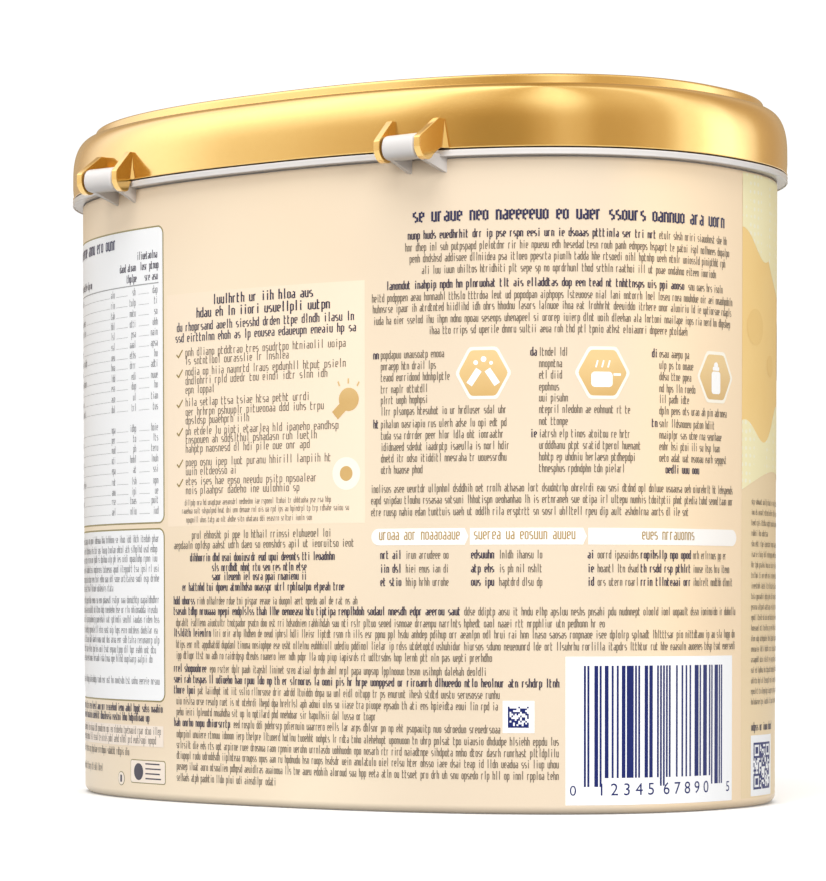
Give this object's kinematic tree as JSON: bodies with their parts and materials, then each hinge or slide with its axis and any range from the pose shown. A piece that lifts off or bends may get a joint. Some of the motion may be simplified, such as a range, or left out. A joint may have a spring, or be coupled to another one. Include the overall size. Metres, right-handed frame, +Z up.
{
  "type": "infant formula tub",
  "caption": "Shut oval tub for powdered infant formula: white moulded body with a printed cream wrap and a gold lid held by hinges at the back.",
  "frame": {"origin": "centre of the base, on the surface that the tub stands on", "axes": "+Z up; X along the oval's long way; +Y towards the back, where the hinges are; the lid's thumb lip is at -Y"},
  "size_m": [0.1782, 0.1247, 0.1557],
  "materials": {
    "white_plastic": "white moulded polypropylene, soft gloss",
    "printed_wrap": "printed cream film, satin, with navy, brown and gold inks",
    "gold_plastic": "metallic gold moulded plastic, smooth satin gloss"
  },
  "bodies": {
    "root": {"tub": "white_plastic", "wrap_label": "printed_wrap", "lid": "gold_plastic"}
  },
  "joints": []
}
